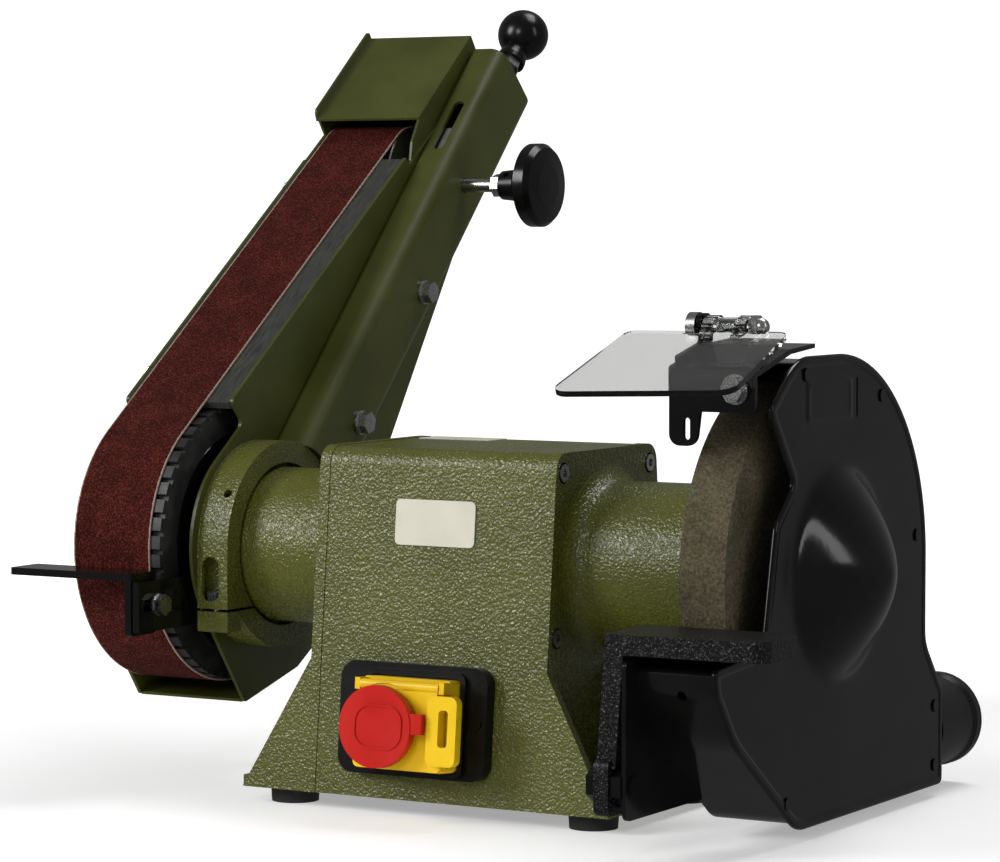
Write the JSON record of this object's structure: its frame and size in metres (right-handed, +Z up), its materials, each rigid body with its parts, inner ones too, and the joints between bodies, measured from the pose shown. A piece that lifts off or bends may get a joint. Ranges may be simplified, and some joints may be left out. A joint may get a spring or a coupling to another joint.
{
  "type": "bench grinder",
  "caption": "Bench grinder with a guarded grinding wheel on one end of the motor and a pivoting belt sanding arm on the other.",
  "frame": {"origin": "centre of the four bench bolts, on the bench surface under the rubber feet", "axes": "+X along the motor shaft towards the grinding wheel, +Y from the operator to the back, +Z up"},
  "size_m": [0.4749, 0.4471, 0.4392],
  "materials": {
    "body_paint": "hammered olive green enamel",
    "arm_paint": "satin olive green powder coat",
    "black_enamel": "gloss black enamel",
    "hammer_black": "hammered black enamel",
    "zinc_steel": "bright zinc plate",
    "bare_steel": "turned steel",
    "cast_alloy": "turned aluminium",
    "stack_steel": "laminated electrical steel",
    "copper_wire": "varnished copper wire",
    "abrasive_stone": "vitrified grit",
    "abrasive_cloth": "aluminium oxide cloth",
    "platen_graphite": "graphite grey satin",
    "tyre_rubber": "moulded rubber",
    "foot_rubber": "moulded rubber",
    "knob_phenolic": "polished phenolic",
    "black_plastic": "fine-grained moulded plastic",
    "yellow_plastic": "moulded plastic",
    "red_plastic": "moulded plastic",
    "green_plastic": "moulded plastic",
    "grey_plastic": "moulded plastic",
    "clear_acrylic": "clear polished acrylic",
    "badge_foil": "printed foil, blank"
  },
  "bodies": {
    "root": {"motor_shell": "body_paint", "left_end_bell": "body_paint", "right_end_bell": "body_paint", "body_screws": "zinc_steel", "base_plate": "black_enamel", "rubber_feet": "foot_rubber", "stator_core": "stack_steel", "stator_windings": "copper_wire", "run_capacitor": "grey_plastic", "shaft_bearings": "bare_steel", "guard_shell": "black_enamel", "guard_screws": "black_enamel", "guard_cover": "black_enamel", "exhaust_port": "black_plastic", "spark_arrestor": "black_enamel", "shield_arm": "black_enamel", "shield_fasteners": "zinc_steel", "switch_plate": "black_plastic", "switch_box": "yellow_plastic", "badge": "badge_foil", "top_label": "badge_foil", "cable_gland": "black_plastic"},
    "rotor": {"rotor_shaft": "bare_steel", "rotor_core": "stack_steel", "cooling_fan": "black_plastic", "grinding_wheel": "abrasive_stone", "wheel_flanges": "bare_steel", "shaft_nuts": "zinc_steel", "contact_wheel_hub": "cast_alloy", "contact_wheel_tyre": "tyre_rubber"},
    "arm": {"clamp_ring": "body_paint", "clamp_cap": "body_paint", "clamp_bolts": "zinc_steel", "arm_beam": "arm_paint", "beam_end_cap": "arm_paint", "arm_fasteners": "zinc_steel", "inner_side_plate": "arm_paint", "outer_side_plate": "arm_paint", "back_cover": "arm_paint", "top_cap": "arm_paint", "platen": "platen_graphite", "sanding_belt": "abrasive_cloth", "left_rest_support": "black_enamel"},
    "carriage": {"tension_carriage": "bare_steel", "tension_spring": "bare_steel", "idler_axle": "bare_steel", "tension_rod": "zinc_steel", "ball_knob": "knob_phenolic"},
    "idler": {"idler_wheel": "cast_alloy", "idler_bearings": "bare_steel"},
    "tracking": {"tracking_screw": "zinc_steel", "tracking_knob": "knob_phenolic"},
    "left_rest": {"left_work_rest": "black_enamel", "left_rest_bolt": "zinc_steel"},
    "right_rest": {"right_work_rest": "hammer_black"},
    "shield": {"eye_shield": "clear_acrylic"},
    "lid": {"switch_lid": "yellow_plastic"},
    "paddle": {"stop_paddle": "red_plastic"},
    "off_button": {"stop_button": "red_plastic"},
    "on_button": {"start_button": "green_plastic"}
  },
  "joints": [
    {"name": "rotor_spin", "type": "hinge", "parent": "root", "child": "rotor", "pos_m": [0, 0, 0.1322], "axis": [1, 0, 0], "continuous": true},
    {"name": "arm_pivot", "type": "hinge", "parent": "root", "child": "arm", "pos_m": [-0.14, 0, 0.1322], "axis": [1, 0, 0], "range_deg": [-45, 44]},
    {"name": "belt_tension", "type": "slide", "parent": "arm", "child": "carriage", "axis": [0, 0.6942, 0.7198], "range_m": [-0.008, 0], "stiffness_N_per_m": 4000, "springref_m": 0.008},
    {"name": "idler_spin", "type": "hinge", "parent": "carriage", "child": "idler", "pos_m": [-0.192, 0.19714, 0.33663], "axis": [1, 0, 0], "continuous": true},
    {"name": "tracking_turn", "type": "hinge", "parent": "arm", "child": "tracking", "pos_m": [-0.1, 0.19159, 0.33087], "axis": [1, 0, 0], "range_deg": [-180, 180]},
    {"name": "left_rest_slide", "type": "slide", "parent": "arm", "child": "left_rest", "axis": [0, -1, 0], "range_m": [0, 0.009]},
    {"name": "right_rest_slide", "type": "slide", "parent": "root", "child": "right_rest", "axis": [0, -1, 0], "range_m": [0, 0.009]},
    {"name": "shield_tilt", "type": "hinge", "parent": "root", "child": "shield", "pos_m": [0.172, -0.055, 0.2582], "axis": [1, 0, 0], "range_deg": [-95, 0]},
    {"name": "lid_hinge", "type": "hinge", "parent": "root", "child": "lid", "pos_m": [-0.00075, -0.09004, 0.07151], "axis": [1, 0, 0], "range_deg": [-100, 0]},
    {"name": "paddle_press", "type": "slide", "parent": "lid", "child": "paddle", "axis": [0, 0.9955, -0.0948], "range_m": [0, 0.003], "stiffness_N_per_m": 400},
    {"name": "off_press", "type": "slide", "parent": "root", "child": "off_button", "axis": [0, 0.9955, -0.0948], "range_m": [0, 0.003], "stiffness_N_per_m": 400},
    {"name": "on_press", "type": "slide", "parent": "root", "child": "on_button", "axis": [0, 0.9955, -0.0948], "range_m": [0, 0.003], "stiffness_N_per_m": 400}
  ],
  "couplings": [
    {"joint": "idler_spin", "follows": "rotor_spin", "ratio": 2.6121},
    {"joint": "off_press", "follows": "paddle_press", "ratio": 1}
  ]
}
